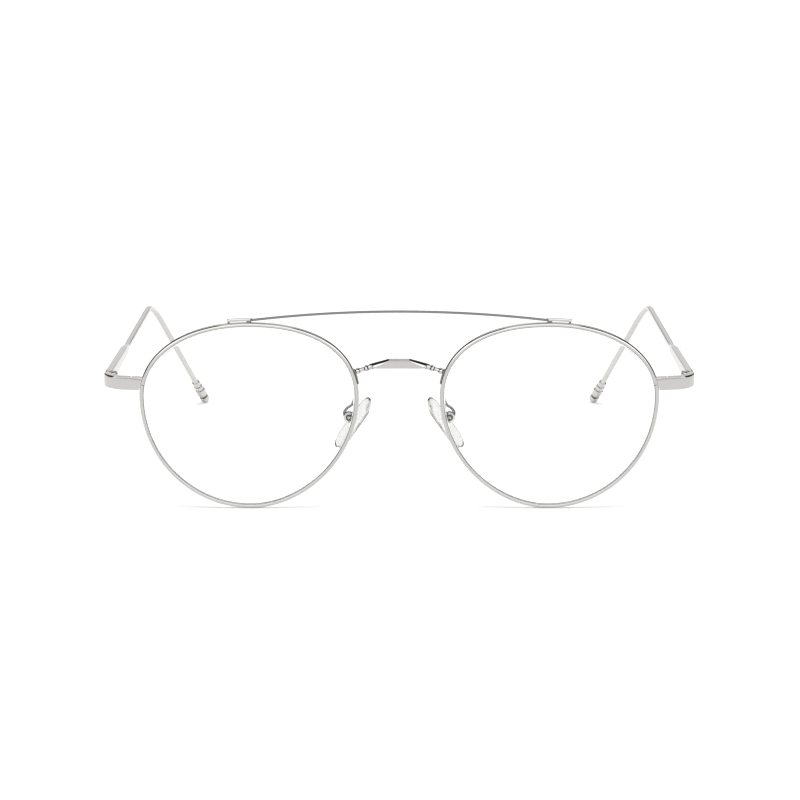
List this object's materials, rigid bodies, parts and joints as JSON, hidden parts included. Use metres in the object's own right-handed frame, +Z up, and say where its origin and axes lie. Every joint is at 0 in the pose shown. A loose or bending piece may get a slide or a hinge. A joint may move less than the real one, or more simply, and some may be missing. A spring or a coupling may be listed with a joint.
{
  "type": "eyeglass frame",
  "caption": "Wire eyeglass frame with a bridge and a brow bar, clear lenses, rocking nose pads and temples that fold on barrel hinges.",
  "frame": {"origin": "middle of the width and the depth, on the table that the eyewires and the temple tips stand on", "axes": "+X towards the side drawn on the right of a front view, +Y from the front of the frame to the temple tips, +Z up"},
  "size_m": [0.1388, 0.139, 0.0485],
  "materials": {
    "bridge": "polished, nickel-plated",
    "eyewire": "satin, nickel-plated",
    "end_piece": "satin, nickel-plated",
    "hinge": "tumbled, nickel-plated",
    "screw": "bright",
    "pad_arm": "bright drawn wire",
    "temple": "satin, nickel-plated",
    "tip": "turned and polished",
    "lens": "clear, polished",
    "nose_pad": "clear silicone, satin"
  },
  "bodies": {
    "front": {"bridge": "bridge", "brow_bar": "bridge", "left_rim": "eyewire", "left_lens": "lens", "left_end_piece": "end_piece", "left_upper_block": "end_piece", "left_lower_block": "end_piece", "left_lock_screw": "screw", "left_front_hinge": "hinge", "left_hinge_screw": "screw", "left_pad_arm": "pad_arm", "left_pad_screw": "screw", "right_rim": "eyewire", "right_lens": "lens", "right_end_piece": "end_piece", "right_upper_block": "end_piece", "right_lower_block": "end_piece", "right_lock_screw": "screw", "right_front_hinge": "hinge", "right_hinge_screw": "screw", "right_pad_arm": "pad_arm", "right_pad_screw": "screw"},
    "left_temple": {"left_temple": "temple", "left_temple_hinge": "hinge", "left_tip_knob": "tip", "left_tip_cap": "tip"},
    "right_temple": {"right_temple": "temple", "right_temple_hinge": "hinge", "right_tip_knob": "tip", "right_tip_cap": "tip"},
    "left_pad": {"left_nose_pad": "nose_pad"},
    "right_pad": {"right_nose_pad": "nose_pad"}
  },
  "joints": [
    {"name": "right_temple_fold", "type": "hinge", "parent": "front", "child": "right_temple", "pos_m": [0.06745, -0.05778, 0.03058], "axis": [0, 0, 1], "range_deg": [0, 87]},
    {"name": "left_temple_fold", "type": "hinge", "parent": "front", "child": "left_temple", "pos_m": [-0.06745, -0.05778, 0.03058], "axis": [0, 0, -1], "range_deg": [0, 81]},
    {"name": "left_pad_rock", "type": "hinge", "parent": "front", "child": "left_pad", "pos_m": [-0.01195, -0.05978, 0.0218], "axis": [0, 1, 0], "range_deg": [-8, 8]},
    {"name": "right_pad_rock", "type": "hinge", "parent": "front", "child": "right_pad", "pos_m": [0.01195, -0.05978, 0.0218], "axis": [0, 1, 0], "range_deg": [-8, 8]}
  ]
}
